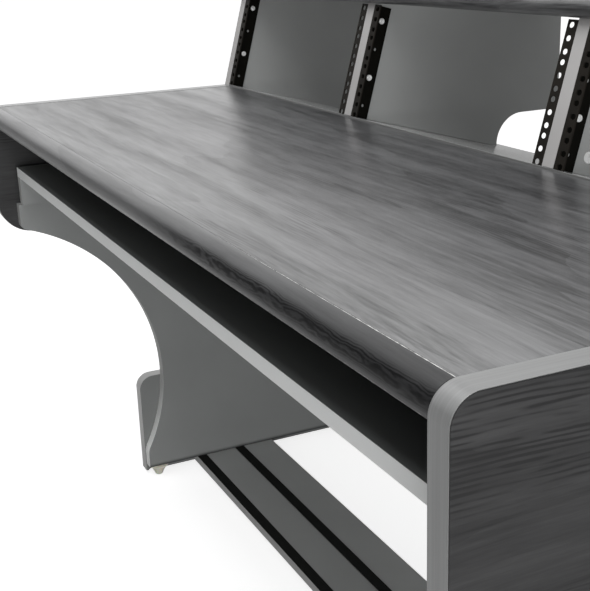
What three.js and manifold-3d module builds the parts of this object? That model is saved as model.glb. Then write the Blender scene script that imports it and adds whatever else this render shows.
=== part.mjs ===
// Studio desk: a thick worktop between two side cheeks, a bridge of three tilted 19 inch rack bays
// behind it, and a keyboard tray on telescopic runners under it. Everything is in millimetres.
// X runs along the desk, Y from the player to the rear, Z up. The origin lies on the floor, in the
// middle of the desk's outer box.

import * as THREE from 'three';
import { mergeVertices } from 'three/addons/utils/BufferGeometryUtils.js';
import Module from 'manifold-3d';

const wasm = await Module();
wasm.setup();

// Driving dimensions: the whole desk
const deskDepth = 886;
const worktopHeight = 795;
const playerReach = 476; // from the cheeks' front edges to the foot of the rack front
const fitGap = 0.3; // joint line between pieces that are screwed or glued together
const runGap = 0.4; // running clearance inside the telescopic runners
const cutOverrun = 1; // how far a cutting tool runs past the face that it opens

// Driving dimensions: rack bridge
const rackUnitHeight = 44.45;
const bayUnits = 4;
const bayCount = 3;
const bayWidth = 487;
const bayHeadroom = 2.2; // spare height over the rack units
const rackTilt = THREE.MathUtils.degToRad(15.6);
const rackPanelThick = 22;
const rackBoardProud = 2.5; // the bridge's bottom board stands this far above the worktop
const rackTopThick = 25;
const rackTopOverhang = 15;
const cableNotchReach = 127; // from the rear edge of a divider to the notch's upright side
const cableNotchDrop = 22.8; // from worktop level down to the notch's top
const cableNotchRadius = 50;

// Driving dimensions: rack rails, their screws and the dividers' cam fittings
const railSlotInset = 10.95; // from a bay's wall to the slot row, so 465.1 between a bay's two rows
const railFrontWidth = 18;
const railSideDepth = 29;
const railThick = 2;
const railSlotHeight = 7;
const railSlotLength = 10; // across the rail
const railSlotShares = [1 / 7, 1 / 2, 6 / 7]; // slot heights in each rack unit
const railScrewInset = 16.5; // from the rail's front face to its side holes
const railSideHole = 5;
const sideHoleShare = 1 / 2; // one side hole at this height in each rack unit
const screwHeadDiameter = 9.5;
const screwHeadHeight = 2.6;
const screwRimShare = 1 / 2; // the head's upright rim, over the head's height
const screwCrownShare = 2 / 3; // the head's flat crown, over the head's diameter
const screwShankDiameter = 3.6;
const screwBite = 8.5; // length of thread in the panel
const camDiameter = 15;
const camDepth = 12.5;
const camHeight = 21.5; // from the divider's lower edge to the cam's centre
const camFrontInset = 50;
const camNotchInset = 55; // from the cable notch forward to the rear cam

// Driving dimensions: worktop and cheeks
const worktopThick = 38;
const noseSetback = 3.6; // the rounded nose lies this far behind the cheeks' front edges
const cheekThick = 26;
const cheekProud = 0.5; // the cheeks stand this far above the worktop
const cheekDrop = 237; // from worktop level down to the cheeks' lower edges
const cheekBandThick = 1;
const cheekTopRadius = 24.5;
const cheekLowRadius = 63;
const cheekRearRadius = 28;

// Driving dimensions: legs, feet and what ties the legs together
const legThick = 22;
const legFrontSetback = 34; // behind the cheeks' front edges
const legBrowHeight = 45.4; // the upright front edge under the tray's runners
const legBrowRadius = 12;
const toeSetback = 243.2; // from the cheeks' front edges to the toe
const toeHeight = 38.9; // where the toe's front would meet the knee arc
const toeRadius = 40;
const kneeRadiusShare = 0.6412; // knee arc's radius over its chord from brow to toe
const legRearInset = 25; // the legs' rear edges lie this far inside the desk's rear
const legStepSetback = 50; // from the foot of the rack front forward to the legs' step
const footPanelHeight = 195;
const footPanelRadius = 28;
const footPanelLead = 1.5; // the foot panel's front edge lies this far before the leg's toe
const railBoardThick = 22;
const railBoardHeight = 120;
const railBoardInset = 5; // behind the legs' step
const modestyThick = 22;
const modestyHeight = 350;
const modestyInset = 8; // ahead of the legs' rear edges

// Driving dimensions: footrest and glides
const footrestSetback = 350; // from the cheeks' front edges to the footrest's front edge
const footrestDepth = 173.5;
const footrestThick = 16;
const gripThick = 1.2;
const gripWidth = 20;
const rearGripSetback = 86.4; // from the footrest's front edge
const glideHeight = 23;
const glideTopRadius = 21; // wider than the leg, so the foot panel is hollowed around it
const glideReliefGap = 1;
const glideShares = [
  // the cone's outline: radius over its top radius, and height over its seat's height
  [0.22, 0],
  [0.36, 0.06],
  [0.43, 0.21],
  [0.54, 0.44],
  [0.78, 0.82],
  [1, 0.93],
  [1, 1],
];
const glideStudRadius = 4;
const glideStudLength = 24;
const glideToeInset = 22; // from the toe, and from the leg's rear edge, to the glide's centre

// Driving dimensions: keyboard tray and its runners
const trayDrop = 109; // from worktop level down to the tray's top
const trayThick = 18;
const trayFrontSetback = 38;
const trayRearClear = 10; // ahead of the legs' step
const battenThick = 18;
const battenHeight = 50.7;
const battenLegClear = 2; // between the battens and the legs' shelf
const runnerSpace = 20; // between a cheek and the tray's end
const runnerHeight = 46;
const runnerWall = 1.5;
const runnerFrontInset = 6; // behind the tray's front edge
const runnerRearInset = 12; // ahead of the tray's rear edge
const outerLipReach = 9.7;
const middleLipReach = 12.7;
const innerLipReach = 11.7;

// Smoothness of round shapes: steps in half an arc, and sides of a full round
const cornerSteps = 6;
const sweepSteps = 22;
const slotSteps = 2;
const boreSides = 10;
const roundSides = 22;

// Places that several pieces share
const deskWidth = bayCount * bayWidth + (bayCount + 1) * rackPanelThick;
const halfWidth = deskWidth / 2;
const frontY = -deskDepth / 2;
const rearY = deskDepth / 2;
const rackY = frontY + playerReach;
const bayHeight = bayUnits * rackUnitHeight + bayHeadroom;
const rackFloorV = rackBoardProud;
const unitBaseV = fitGap; // the rack units are counted from the worktop's level
const rackUndersideV = rackBoardProud - rackPanelThick;
const rackCeilingV = unitBaseV + bayHeight;
const worktopUndersideZ = worktopHeight - worktopThick;
const cheekInnerX = halfWidth - cheekThick;
const legInnerX = cheekInnerX - fitGap - legThick;
const legRearY = rearY - legRearInset;
const legStepY = rackY - legStepSetback;
const legBottomZ = glideHeight;
const toeY = frontY + toeSetback;
const trayTopZ = worktopHeight - trayDrop;
const battenTopZ = trayTopZ - trayThick - fitGap;
const legShelfZ = battenTopZ - battenHeight - battenLegClear;
const trayEndX = cheekInnerX - runnerSpace;
const trayFrontY = frontY + trayFrontSetback;
const trayRearY = legStepY - trayRearClear;

// A point of the tilted bridge, u back along its floor and v up along its front, in desk Y and Z
function fromRack(u, v) {
  return [
    rackY + u * Math.cos(rackTilt) + v * Math.sin(rackTilt),
    worktopHeight - u * Math.sin(rackTilt) + v * Math.cos(rackTilt),
  ];
}

// The same point the other way round: desk Y and Z in, u and v out
function toRack(y, z) {
  const back = y - rackY;
  const up = z - worktopHeight;
  return [
    back * Math.cos(rackTilt) - up * Math.sin(rackTilt),
    back * Math.sin(rackTilt) + up * Math.cos(rackTilt),
  ];
}

// Height of a line of constant v at a given desk Y
function heightOnRackLine(v, y) {
  return worktopHeight + (v - (y - rackY) * Math.sin(rackTilt)) / Math.cos(rackTilt);
}

// Desk Y of a line of constant u at a given height
function depthOnRackLine(u, z) {
  return rackY + (u + (z - worktopHeight) * Math.sin(rackTilt)) / Math.cos(rackTilt);
}

// Finishes
const finishes = {
  worktop: { color: 0x84868a, roughness: 0.36, metalness: 0 },
  cheek: { color: 0x47484a, roughness: 0.5, metalness: 0 },
  edge: { color: 0xb1b1b0, roughness: 0.45, metalness: 0 },
  board: { color: 0x666867, roughness: 0.55, metalness: 0 },
  rack: { color: 0x707271, roughness: 0.55, metalness: 0 },
  steel: { color: 0x15140f, roughness: 0.45, metalness: 0.7 },
  zinc: { color: 0xc9c7c0, roughness: 0.3, metalness: 1 },
  nylon: { color: 0xd2d2c2, roughness: 0.4, metalness: 0 },
  grip: { color: 0x101211, roughness: 0.9, metalness: 0 },
};

const desk = new THREE.Group();
const bridge = new THREE.Group();
bridge.position.set(0, rackY, worktopHeight);
bridge.rotation.x = -rackTilt;
desk.add(bridge);

function addPiece(name, geometry, finish, x, y, z, parent = desk) {
  const piece = new THREE.Mesh(geometry, new THREE.MeshStandardMaterial(finishes[finish]));
  piece.name = name;
  piece.position.set(x, y, z);
  parent.add(piece);
  return piece;
}

// A board with its low corner at the given place
function addBoard(name, finish, low, size, parent = desk) {
  const geometry = new THREE.BoxGeometry(...size);
  geometry.translate(...size.map((length) => length / 2));
  return addPiece(name, geometry, finish, ...low, parent);
}

// An upright panel: its outline is drawn in Y and Z, and its thickness runs along +X
function panelGeometry(outline, thickness, steps = cornerSteps) {
  const geometry = new THREE.ExtrudeGeometry(outline, {
    depth: thickness,
    bevelEnabled: false,
    curveSegments: steps,
  });
  const alongY = new THREE.Vector3(0, 1, 0);
  const alongZ = new THREE.Vector3(0, 0, 1);
  const alongX = new THREE.Vector3(1, 0, 0);
  geometry.applyMatrix4(new THREE.Matrix4().makeBasis(alongY, alongZ, alongX));
  return geometry;
}

function outlineOf(points) {
  return new THREE.Shape(points.map(([a, b]) => new THREE.Vector2(a, b)));
}

function solidFrom(geometry) {
  const bare = geometry.clone();
  bare.deleteAttribute('normal');
  bare.deleteAttribute('uv');
  const merged = mergeVertices(bare);
  return new wasm.Manifold(new wasm.Mesh({
    numProp: 3,
    vertProperties: Float32Array.from(merged.attributes.position.array),
    triVerts: Uint32Array.from(merged.index.array),
  }));
}

function geometryFrom(solid) {
  const { vertProperties, triVerts } = solid.getMesh();
  const geometry = new THREE.BufferGeometry();
  geometry.setAttribute('position', new THREE.BufferAttribute(Float32Array.from(vertProperties), 3));
  geometry.setIndex(Array.from(triVerts));
  const faceted = geometry.toNonIndexed();
  faceted.computeVertexNormals();
  return faceted;
}

function drill(geometry, bores) {
  let solid = solidFrom(geometry);
  for (const bore of bores) {
    solid = solid.subtract(solidFrom(bore));
  }
  return geometryFrom(solid);
}

// A bore along X, from one X to the other
function boreAlongX(diameter, fromX, toX, y, z, sides = boreSides) {
  const bore = new THREE.CylinderGeometry(diameter / 2, diameter / 2, Math.abs(toX - fromX), sides);
  bore.rotateZ(Math.PI / 2);
  bore.translate((fromX + toX) / 2, y, z);
  return bore;
}

// Worktop: a laminated slab whose rear edge is bevelled to the tilt of the bridge
const noseTipY = frontY + noseSetback;
const noseRadius = worktopThick / 2;
const seamY = noseTipY + noseRadius;
const slabLength = 2 * (cheekInnerX - fitGap);
const slabOutline = outlineOf([
  [seamY, worktopUndersideZ],
  [depthOnRackLine(-fitGap, worktopUndersideZ), worktopUndersideZ],
  [depthOnRackLine(-fitGap, worktopHeight), worktopHeight],
  [seamY, worktopHeight],
]);
addPiece('worktop', panelGeometry(slabOutline, slabLength), 'worktop', -slabLength / 2, 0, 0);

// Nose: the half-round strip glued along the slab's front edge
const noseOutline = new THREE.Shape();
noseOutline.moveTo(seamY - fitGap, worktopHeight);
noseOutline.absarc(seamY - fitGap, worktopHeight - noseRadius, noseRadius, Math.PI / 2, 3 * Math.PI / 2);
const noseGeometry = panelGeometry(noseOutline, slabLength, sweepSteps);
addPiece('worktop_nose', noseGeometry, 'worktop', -slabLength / 2, 0, 0);

// Cheeks: side panels whose upper rear edge follows the underside of the bridge
const cheekTopZ = worktopHeight + cheekProud;
const cheekBottomZ = worktopHeight - cheekDrop;
const underBridgeV = rackUndersideV - fitGap;

// The cheek's exposed edge, from the bridge forward over the front and back along the bottom
function cheekRun(inset) {
  const run = new THREE.Path();
  const topZ = cheekTopZ - inset;
  run.moveTo(depthOnRackLine(-fitGap, topZ), topZ);
  run.lineTo(frontY + cheekTopRadius, topZ);
  const topCentre = [frontY + cheekTopRadius, cheekTopZ - cheekTopRadius];
  run.absarc(...topCentre, cheekTopRadius - inset, Math.PI / 2, Math.PI);
  const lowCentre = [frontY + cheekLowRadius, cheekBottomZ + cheekLowRadius];
  run.absarc(...lowCentre, cheekLowRadius - inset, Math.PI, 3 * Math.PI / 2);
  const rearCentre = [rearY - cheekRearRadius, cheekBottomZ + cheekRearRadius];
  run.absarc(...rearCentre, cheekRearRadius - inset, 3 * Math.PI / 2, 2 * Math.PI);
  run.lineTo(rearY - inset, heightOnRackLine(underBridgeV, rearY - inset));
  return run.getPoints(cornerSteps);
}

const cheekCore = new THREE.Shape([
  ...cheekRun(cheekBandThick + fitGap),
  new THREE.Vector2(...fromRack(-fitGap, underBridgeV)),
]);
const cheekBand = new THREE.Shape([...cheekRun(0), ...cheekRun(cheekBandThick).reverse()]);
const sides = [['left', -1], ['right', 1]];
for (const [side, sign] of sides) {
  const x = sign < 0 ? -halfWidth : cheekInnerX;
  addPiece(`${side}_cheek`, panelGeometry(cheekCore, cheekThick), 'cheek', x, 0, 0);
  addPiece(`${side}_cheek_edge_band`, panelGeometry(cheekBand, cheekThick), 'edge', x, 0, 0);
}

// Legs: one flat panel each, cut away in front by a single knee arc between brow and toe
const legFrontY = frontY + legFrontSetback;
const browZ = legShelfZ - legBrowHeight;
const toeTopZ = legBottomZ + toeHeight;
const kneeChord = Math.hypot(toeY - legFrontY, browZ - toeTopZ);
const kneeRadius = kneeRadiusShare * kneeChord;
const kneeOffset = Math.sqrt(kneeRadius ** 2 - (kneeChord / 2) ** 2);
const kneeY = (legFrontY + toeY) / 2 - kneeOffset * (browZ - toeTopZ) / kneeChord;
const kneeZ = (browZ + toeTopZ) / 2 - kneeOffset * (toeY - legFrontY) / kneeChord;

// The centre height of a fillet that rolls from an upright edge onto the outside of the knee arc
function filletHeight(edgeY, radius, upward) {
  const across = edgeY + radius - kneeY;
  return kneeZ + upward * Math.sqrt((kneeRadius + radius) ** 2 - across ** 2);
}

const browFillet = [legFrontY + legBrowRadius, filletHeight(legFrontY, legBrowRadius, 1)];
const toeFillet = [toeY + toeRadius, filletHeight(toeY, toeRadius, -1)];
const browAngle = Math.atan2(browFillet[1] - kneeZ, browFillet[0] - kneeY);
const toeAngle = Math.atan2(toeFillet[1] - kneeZ, toeFillet[0] - kneeY);
const slabSeatZ = worktopUndersideZ - fitGap;
const slopeStartU = (underBridgeV * Math.cos(rackTilt) - (slabSeatZ - worktopHeight)) / Math.sin(rackTilt);
const legOutline = new THREE.Shape();
legOutline.moveTo(toeY, legBottomZ);
legOutline.lineTo(legRearY, legBottomZ);
legOutline.lineTo(legRearY, heightOnRackLine(underBridgeV, legRearY));
legOutline.lineTo(...fromRack(slopeStartU, underBridgeV));
legOutline.lineTo(legStepY, slabSeatZ);
legOutline.lineTo(legStepY, legShelfZ);
legOutline.lineTo(legFrontY, legShelfZ);
legOutline.absarc(...browFillet, legBrowRadius, Math.PI, Math.PI + browAngle);
legOutline.absarc(kneeY, kneeZ, kneeRadius, browAngle, toeAngle, true);
legOutline.absarc(...toeFillet, toeRadius, Math.PI + toeAngle, Math.PI);

const glidePlaces = [['front', toeY + glideToeInset], ['rear', legRearY - glideToeInset]];
const studBoreRadius = glideStudRadius + fitGap;
const studBoreDepth = glideStudLength + cutOverrun;
const studBores = glidePlaces.map(([, y]) => {
  const bore = new THREE.CylinderGeometry(studBoreRadius, studBoreRadius, studBoreDepth, boreSides);
  bore.rotateX(Math.PI / 2);
  bore.translate(legThick / 2, y, legBottomZ - cutOverrun + studBoreDepth / 2);
  return bore;
});
const legGeometry = drill(panelGeometry(legOutline, legThick), studBores);
for (const [side, sign] of sides) {
  const x = sign < 0 ? -legInnerX - legThick : legInnerX;
  addPiece(`${side}_leg`, legGeometry, 'board', x, 0, 0);
}

// Glides: nylon cones on threaded studs, two under each leg
const glideSeatZ = glideHeight - fitGap;
const glideTopZ = glideSeatZ + glideStudLength - fitGap;
const glideProfile = [
  new THREE.Vector2(0, 0),
  ...glideShares.map(([r, z]) => new THREE.Vector2(r * glideTopRadius, z * glideSeatZ)),
  new THREE.Vector2(glideStudRadius, glideSeatZ),
  new THREE.Vector2(glideStudRadius, glideTopZ),
  new THREE.Vector2(0, glideTopZ),
];
for (const [side, sign] of sides) {
  for (const [end, y] of glidePlaces) {
    const geometry = new THREE.LatheGeometry(glideProfile, roundSides);
    geometry.rotateX(Math.PI / 2);
    addPiece(`${side}_${end}_glide`, geometry, 'nylon', sign * (legInnerX + legThick / 2), y, 0);
  }
}

// Foot panels: low outer panels in the plane of the cheeks, screwed to the legs' outer faces
const footFrontY = toeY - footPanelLead;
const footTopZ = legBottomZ + footPanelHeight;
const footBottomZ = legBottomZ - fitGap - footrestThick;
const footOutline = new THREE.Shape();
footOutline.moveTo(footFrontY, footBottomZ);
footOutline.lineTo(legRearY, footBottomZ);
footOutline.absarc(legRearY - footPanelRadius, footTopZ - footPanelRadius, footPanelRadius, 0, Math.PI / 2);
footOutline.absarc(
  footFrontY + footPanelRadius, footTopZ - footPanelRadius, footPanelRadius, Math.PI / 2, Math.PI,
);
const reliefRadius = glideTopRadius + glideReliefGap;
const reliefHeight = glideReliefGap + legBottomZ - footBottomZ + cutOverrun;
const legMiddleX = legInnerX + legThick / 2;
for (const [side, sign] of sides) {
  const x = sign < 0 ? -halfWidth : cheekInnerX;
  const reliefs = glidePlaces.map(([, y]) => {
    const relief = new THREE.CylinderGeometry(reliefRadius, reliefRadius, reliefHeight, roundSides);
    relief.rotateX(Math.PI / 2);
    relief.translate(sign * legMiddleX - x, y, footBottomZ - cutOverrun + reliefHeight / 2);
    return relief;
  });
  const geometry = drill(panelGeometry(footOutline, cheekThick), reliefs);
  addPiece(`${side}_foot_panel`, geometry, 'board', x, 0, 0);
}

// Footrest: a board across the desk under the legs, with two strips to grip the shoes
const footrestY = frontY + footrestSetback;
const footrestTopZ = legBottomZ - fitGap;
const footrestHalf = cheekInnerX - fitGap;
addBoard(
  'footrest_board', 'board',
  [-footrestHalf, footrestY, footrestTopZ - footrestThick],
  [2 * footrestHalf, footrestDepth, footrestThick],
);
const gripHalf = legInnerX - fitGap;
for (const [end, setback] of [['front', 0], ['rear', rearGripSetback]]) {
  addBoard(
    `${end}_grip_strip`, 'grip',
    [-gripHalf, footrestY + setback, footrestTopZ + fitGap],
    [2 * gripHalf, gripWidth, gripThick],
  );
}

// Boards between the legs: a rail under the worktop's rear and a modesty panel at the back
const spanHalf = legInnerX - fitGap;
addBoard(
  'worktop_rail', 'board',
  [-spanHalf, legStepY + railBoardInset, slabSeatZ - railBoardHeight],
  [2 * spanHalf, railBoardThick, railBoardHeight],
);
const modestyRearY = legRearY - modestyInset;
const modestyTopZ = heightOnRackLine(underBridgeV, modestyRearY);
addBoard(
  'modesty_panel', 'board',
  [-spanHalf, modestyRearY - modestyThick, modestyTopZ - modestyHeight],
  [2 * spanHalf, modestyThick, modestyHeight],
);

// Keyboard tray: a board on two side battens
addBoard(
  'tray_board', 'board',
  [-trayEndX, trayFrontY, trayTopZ - trayThick],
  [2 * trayEndX, trayRearY - trayFrontY, trayThick],
);
for (const [side, sign] of sides) {
  const x = sign < 0 ? -trayEndX : trayEndX - battenThick;
  addBoard(
    `${side}_tray_batten`, 'board',
    [x, trayFrontY, battenTopZ - battenHeight],
    [battenThick, trayRearY - trayFrontY, battenHeight],
  );
}

// Runners: three nested channels on each side, drawn in X from the cheek and Z from their middle
function channelOutline(sign, backX, lipX, height) {
  const wallX = backX + Math.sign(lipX - backX) * runnerWall;
  return outlineOf([
    [backX, -height / 2],
    [lipX, -height / 2],
    [lipX, -height / 2 + runnerWall],
    [wallX, -height / 2 + runnerWall],
    [wallX, height / 2 - runnerWall],
    [lipX, height / 2 - runnerWall],
    [lipX, height / 2],
    [backX, height / 2],
  ].map(([x, z]) => [sign * x, z]));
}

const runnerFrontY = trayFrontY + runnerFrontInset;
const runnerRearY = trayRearY - runnerRearInset;
const runnerZ = battenTopZ - battenHeight / 2;
const nestStep = 2 * (runnerWall + runGap);
const outerBackX = -fitGap;
const middleBackX = outerBackX - runnerWall - runGap;
const innerBackX = fitGap - runnerSpace;
const runnerMembers = [
  ['outer', outerBackX, outerBackX - outerLipReach, runnerHeight],
  ['middle', middleBackX, middleBackX - middleLipReach, runnerHeight - nestStep],
  ['inner', innerBackX, innerBackX + innerLipReach, runnerHeight - 2 * nestStep],
];
for (const [side, sign] of sides) {
  for (const [member, backX, lipX, height] of runnerMembers) {
    const geometry = new THREE.ExtrudeGeometry(channelOutline(sign, backX, lipX, height), {
      depth: runnerRearY - runnerFrontY,
      bevelEnabled: false,
    });
    geometry.rotateX(Math.PI / 2);
    addPiece(`${side}_runner_${member}`, geometry, 'zinc', sign * cheekInnerX, runnerRearY, runnerZ);
  }
}

// Bridge: its pieces are drawn in X, u and v, and the bridge's group tilts them back
const boardHalf = halfWidth - rackPanelThick - fitGap;
const boardRearU = (rearY - rackY - rackFloorV * Math.sin(rackTilt)) / Math.cos(rackTilt);
addBoard(
  'rack_bottom_board', 'rack',
  [-boardHalf, 0, rackUndersideV],
  [2 * boardHalf, boardRearU, rackPanelThick],
  bridge,
);

const rackCeilingZ = fromRack(0, rackCeilingV)[1];
const rackTopFrontY = fromRack(0, rackCeilingV)[0] - rackTopOverhang;
const rackTopLowZ = rackCeilingZ + fitGap;
const rackTopRadius = rackTopThick / 2;
const rackTopOutline = new THREE.Shape();
rackTopOutline.moveTo(rearY, rackTopLowZ);
rackTopOutline.lineTo(rearY, rackTopLowZ + rackTopThick);
rackTopOutline.absarc(
  rackTopFrontY + rackTopRadius, rackTopLowZ + rackTopRadius, rackTopRadius, Math.PI / 2, 3 * Math.PI / 2,
);
addPiece('rack_top_board', panelGeometry(rackTopOutline, deskWidth), 'worktop', -halfWidth, 0, 0);

// The two side panels and the two dividers, from the left
const bayPitch = bayWidth + rackPanelThick;
const sideOutline = outlineOf([
  [0, rackUndersideV],
  [(rearY - rackY - rackUndersideV * Math.sin(rackTilt)) / Math.cos(rackTilt), rackUndersideV],
  toRack(rearY, rackCeilingZ),
  [0, rackCeilingV],
]);

const dividerLowV = rackFloorV + fitGap;
const notchY = rearY - cableNotchReach;
const notchZ = worktopHeight - cableNotchDrop;
const notchU = (notchY - rackY - dividerLowV * Math.sin(rackTilt)) / Math.cos(rackTilt);
const dividerOutline = new THREE.Shape();
dividerOutline.moveTo(0, dividerLowV);
dividerOutline.lineTo(notchU, dividerLowV);
dividerOutline.absarc(
  ...toRack(notchY + cableNotchRadius, notchZ - cableNotchRadius), cableNotchRadius,
  Math.PI + rackTilt, Math.PI / 2 + rackTilt, true,
);
dividerOutline.lineTo(...toRack(rearY, notchZ));
dividerOutline.lineTo(...toRack(rearY, rackCeilingZ));
dividerOutline.lineTo(0, rackCeilingV);

const railLowV = rackFloorV + fitGap;
const railLength = unitBaseV + bayUnits * rackUnitHeight - railLowV;
const sideHoleHeights = [];
for (let unit = 0; unit < bayUnits; unit += 1) {
  sideHoleHeights.push(unitBaseV + (unit + sideHoleShare) * rackUnitHeight);
}
// Every other side hole takes a screw, from the second one up
const screwHeights = sideHoleHeights.filter((height, number) => number % 2 === 1);
const screwBore = screwShankDiameter + 2 * fitGap;
const screwBoreDepth = screwBite + fitGap;
const camBore = camDiameter + 2 * fitGap;
const camBoreDepth = camDepth + fitGap;
const camPlaces = [['front', camFrontInset], ['rear', notchU - camNotchInset]];
const camV = dividerLowV + camHeight;

// Screw bores and cam bores of a panel that is drawn from X zero: faces lists its bay sides
function panelBores(faces, camFace) {
  const bores = [];
  for (const face of faces) {
    const faceX = face < 0 ? 0 : rackPanelThick;
    for (const v of screwHeights) {
      const inX = faceX - face * screwBoreDepth;
      bores.push(boreAlongX(screwBore, faceX + face * cutOverrun, inX, railScrewInset, v));
    }
    if (face === camFace) {
      for (const [, u] of camPlaces) {
        const inX = faceX - face * camBoreDepth;
        bores.push(boreAlongX(camBore, faceX + face * cutOverrun, inX, u, camV, roundSides));
      }
    }
  }
  return bores;
}

const rackPanels = [
  ['left_rack_side', sideOutline, 0, [1], 0],
  ['left_divider', dividerOutline, 1, [-1, 1], -1],
  ['right_divider', dividerOutline, bayCount - 1, [-1, 1], 1],
  ['right_rack_side', sideOutline, bayCount, [-1], 0],
];
for (const [name, outline, index, faces, camFace] of rackPanels) {
  const geometry = drill(panelGeometry(outline, rackPanelThick), panelBores(faces, camFace));
  const x = -halfWidth + index * bayPitch;
  addPiece(name, geometry, 'rack', x, 0, 0, bridge);
  if (camFace !== 0) {
    const faceX = x + (camFace < 0 ? 0 : rackPanelThick);
    for (const [end, u] of camPlaces) {
      const cam = boreAlongX(camDiameter, 0, -camFace * camDepth, 0, 0, roundSides);
      addPiece(`${name}_${end}_cam`, cam, 'zinc', faceX, u, camV, bridge);
    }
  }
}

// Rack rails: angle strips with a row of holes in front, screwed to the panels through their sides
const railSlotX = railSlotInset - fitGap;
const slotEnd = (railSlotLength - railSlotHeight) / 2;
const slotOutline = new THREE.Shape();
slotOutline.absarc(slotEnd, 0, railSlotHeight / 2, -Math.PI / 2, Math.PI / 2);
slotOutline.absarc(-slotEnd, 0, railSlotHeight / 2, Math.PI / 2, 3 * Math.PI / 2);

function railGeometry(sign) {
  const outline = outlineOf([
    [0, 0],
    [sign * railFrontWidth, 0],
    [sign * railFrontWidth, railThick],
    [sign * railThick, railThick],
    [sign * railThick, railSideDepth],
    [0, railSideDepth],
  ]);
  const angle = new THREE.ExtrudeGeometry(outline, { depth: railLength, bevelEnabled: false });
  const boreLength = railThick + 2 * cutOverrun;
  const bores = [];
  for (let unit = 0; unit < bayUnits; unit += 1) {
    for (const share of railSlotShares) {
      const bore = new THREE.ExtrudeGeometry(slotOutline, {
        depth: boreLength,
        bevelEnabled: false,
        curveSegments: slotSteps,
      });
      bore.rotateX(Math.PI / 2);
      const slotV = unitBaseV + (unit + share) * rackUnitHeight;
      bore.translate(sign * railSlotX, railThick + cutOverrun, slotV - railLowV);
      bores.push(bore);
    }
  }
  for (const v of sideHoleHeights) {
    const fromX = -sign * cutOverrun;
    bores.push(boreAlongX(railSideHole, fromX, fromX + sign * boreLength, railScrewInset, v - railLowV));
  }
  return drill(angle, bores);
}

const screwProfile = [
  [0, -screwBite - fitGap - railThick],
  [screwShankDiameter / 2, -screwBite - fitGap - railThick],
  [screwShankDiameter / 2, 0],
  [screwHeadDiameter / 2, 0],
  [screwHeadDiameter / 2, screwHeadHeight * screwRimShare],
  [screwHeadDiameter / 2 * screwCrownShare, screwHeadHeight],
  [0, screwHeadHeight],
].map(([r, length]) => new THREE.Vector2(r, length));

const bayNames = ['left_bay', 'centre_bay', 'right_bay'];
bayNames.forEach((bay, index) => {
  const bayLeftX = -halfWidth + rackPanelThick + index * bayPitch;
  const rails = [['left', bayLeftX, 1], ['right', bayLeftX + bayWidth, -1]];
  for (const [side, faceX, sign] of rails) {
    const railX = faceX + sign * fitGap;
    addPiece(`${bay}_${side}_rail`, railGeometry(sign), 'steel', railX, 0, railLowV, bridge);
    screwHeights.forEach((v, number) => {
      const screw = new THREE.LatheGeometry(screwProfile, boreSides);
      screw.rotateZ(-sign * Math.PI / 2);
      const headX = railX + sign * (railThick + fitGap);
      const end = number === 0 ? 'lower' : 'upper';
      addPiece(`${bay}_${side}_rail_${end}_screw`, screw, 'zinc', headX, railScrewInset, v, bridge);
    });
  }
});

export default desk;
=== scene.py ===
# Studio desk with a tilted rack bridge. Metres, X along the desk, Y to the rear, Z up.
import math
from functools import partial

import bmesh
import bpy
import numpy as np
from mathutils import Matrix, Vector


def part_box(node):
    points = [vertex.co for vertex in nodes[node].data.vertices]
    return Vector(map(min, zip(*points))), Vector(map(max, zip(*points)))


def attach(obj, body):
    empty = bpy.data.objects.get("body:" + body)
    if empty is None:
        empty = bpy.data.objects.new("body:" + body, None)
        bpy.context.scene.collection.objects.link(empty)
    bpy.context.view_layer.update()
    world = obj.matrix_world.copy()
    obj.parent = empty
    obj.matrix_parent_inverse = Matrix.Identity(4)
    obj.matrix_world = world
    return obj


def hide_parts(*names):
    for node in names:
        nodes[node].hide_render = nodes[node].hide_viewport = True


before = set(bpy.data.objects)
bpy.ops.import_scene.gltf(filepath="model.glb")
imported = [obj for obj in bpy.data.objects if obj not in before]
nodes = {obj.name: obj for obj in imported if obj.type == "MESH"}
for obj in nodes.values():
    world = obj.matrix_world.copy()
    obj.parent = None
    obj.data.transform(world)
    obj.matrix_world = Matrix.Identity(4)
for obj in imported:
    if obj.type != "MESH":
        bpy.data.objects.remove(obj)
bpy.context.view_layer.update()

# Camera: at seated eye height by the desk's right front corner, looking left across the worktop.
# Its place and turn were worked out from the bays' spacing and the rails' slots.
camera_place = (1.308288, -0.793290, 1.069811)
camera_right = (0.4300199, 0.90217201, -0.03418399)
camera_down = (0.2642903, -0.16199814, -0.95074036)
camera_ahead = (-0.86326909, 0.39980278, -0.30809773)
camera_data = bpy.data.cameras.new("camera")
camera_data.sensor_width = 36.0
camera_data.lens = 67.248
camera_data.clip_start = 0.01
camera = bpy.data.objects.new("camera", camera_data)
turn = Matrix(
    [(r, -d, -a) for r, d, a in zip(camera_right, camera_down, camera_ahead)]
).to_4x4()
camera.matrix_world = Matrix.Translation(camera_place) @ turn
bpy.context.collection.objects.link(camera)
bpy.context.scene.camera = camera
bpy.context.scene.view_settings.view_transform = "Standard"


# Worktop: a 38 mm laminated slab between the cheeks, grain along the desk, postformed in front.
# The laminate is a dark grey wood print with a satin film that mirrors the room at a low angle.
def add_node(tree, kind, feeds=None, **settings):
    """Adds a shader node, sets its settings, and feeds each input with a value or a socket."""
    made = tree.nodes.new(kind)
    for key, value in settings.items():
        setattr(made, key, value)
    for key, value in (feeds or {}).items():
        if isinstance(value, bpy.types.NodeSocket):
            tree.links.new(value, made.inputs[key])
        else:
            made.inputs[key].default_value = value
    return made


def calculate(tree, operation, a, b=0.0, c=0.0, clamp=False):
    """A Math node's result for these values or sockets."""
    return add_node(
        tree, "ShaderNodeMath", {0: a, 1: b, 2: c}, operation=operation, use_clamp=clamp
    ).outputs[0]


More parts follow.
